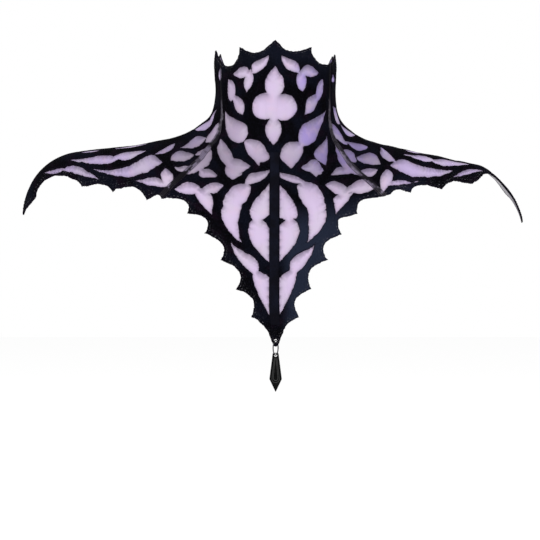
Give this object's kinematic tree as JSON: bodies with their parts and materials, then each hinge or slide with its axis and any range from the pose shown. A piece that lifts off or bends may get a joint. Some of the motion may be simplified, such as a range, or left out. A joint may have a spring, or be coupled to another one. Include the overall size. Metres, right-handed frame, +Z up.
{
  "type": "tulle neckpiece",
  "caption": "Worn neckpiece: sheer tulle high collar with shoulder wings and a pointed bib, covered in black velvet tracery, with a hanging spear drop.",
  "frame": {"origin": "on the neck axis at the level of the collar's base, the mount neck_seat", "axes": "+Z up along the neck, -Y towards the wearer's front where the bib hangs, +X towards the right of the picture (the wearer's left)"},
  "size_m": [0.4289, 0.1799, 0.2921],
  "materials": {
    "tulle": "lilac tulle, fine net, soft sheen",
    "velvet": "blue-black velvet flock",
    "tape": "sheer grey seam tape",
    "ribbon": "blue-black ribbon",
    "ring_metal": "dark polished wire",
    "jet": "black faceted, semi-gloss"
  },
  "bodies": {
    "neckpiece": {"tulle_front": "tulle", "tulle_side_left": "tulle", "tulle_side_right": "tulle", "tracery_front": "velvet", "tracery_side_left": "velvet", "tracery_side_right": "velvet", "seam_tape_left": "tape", "seam_tape_right": "tape", "centre_strip": "ribbon", "back_closure": "ribbon"},
    "ring": {"jump_ring": "ring_metal"},
    "pendant": {"drop": "jet"}
  },
  "joints": [
    {"name": "ring_swing", "type": "hinge", "parent": "neckpiece", "child": "ring", "pos_m": [0, -0.09665, -0.16088], "axis": [0.342, 0.9397, 0], "range_deg": [-25, 25]},
    {"name": "drop_tilt", "type": "hinge", "parent": "ring", "child": "pendant", "pos_m": [0, -0.09665, -0.16688], "axis": [0.9397, -0.342, 0], "range_deg": [-50, 50]}
  ]
}
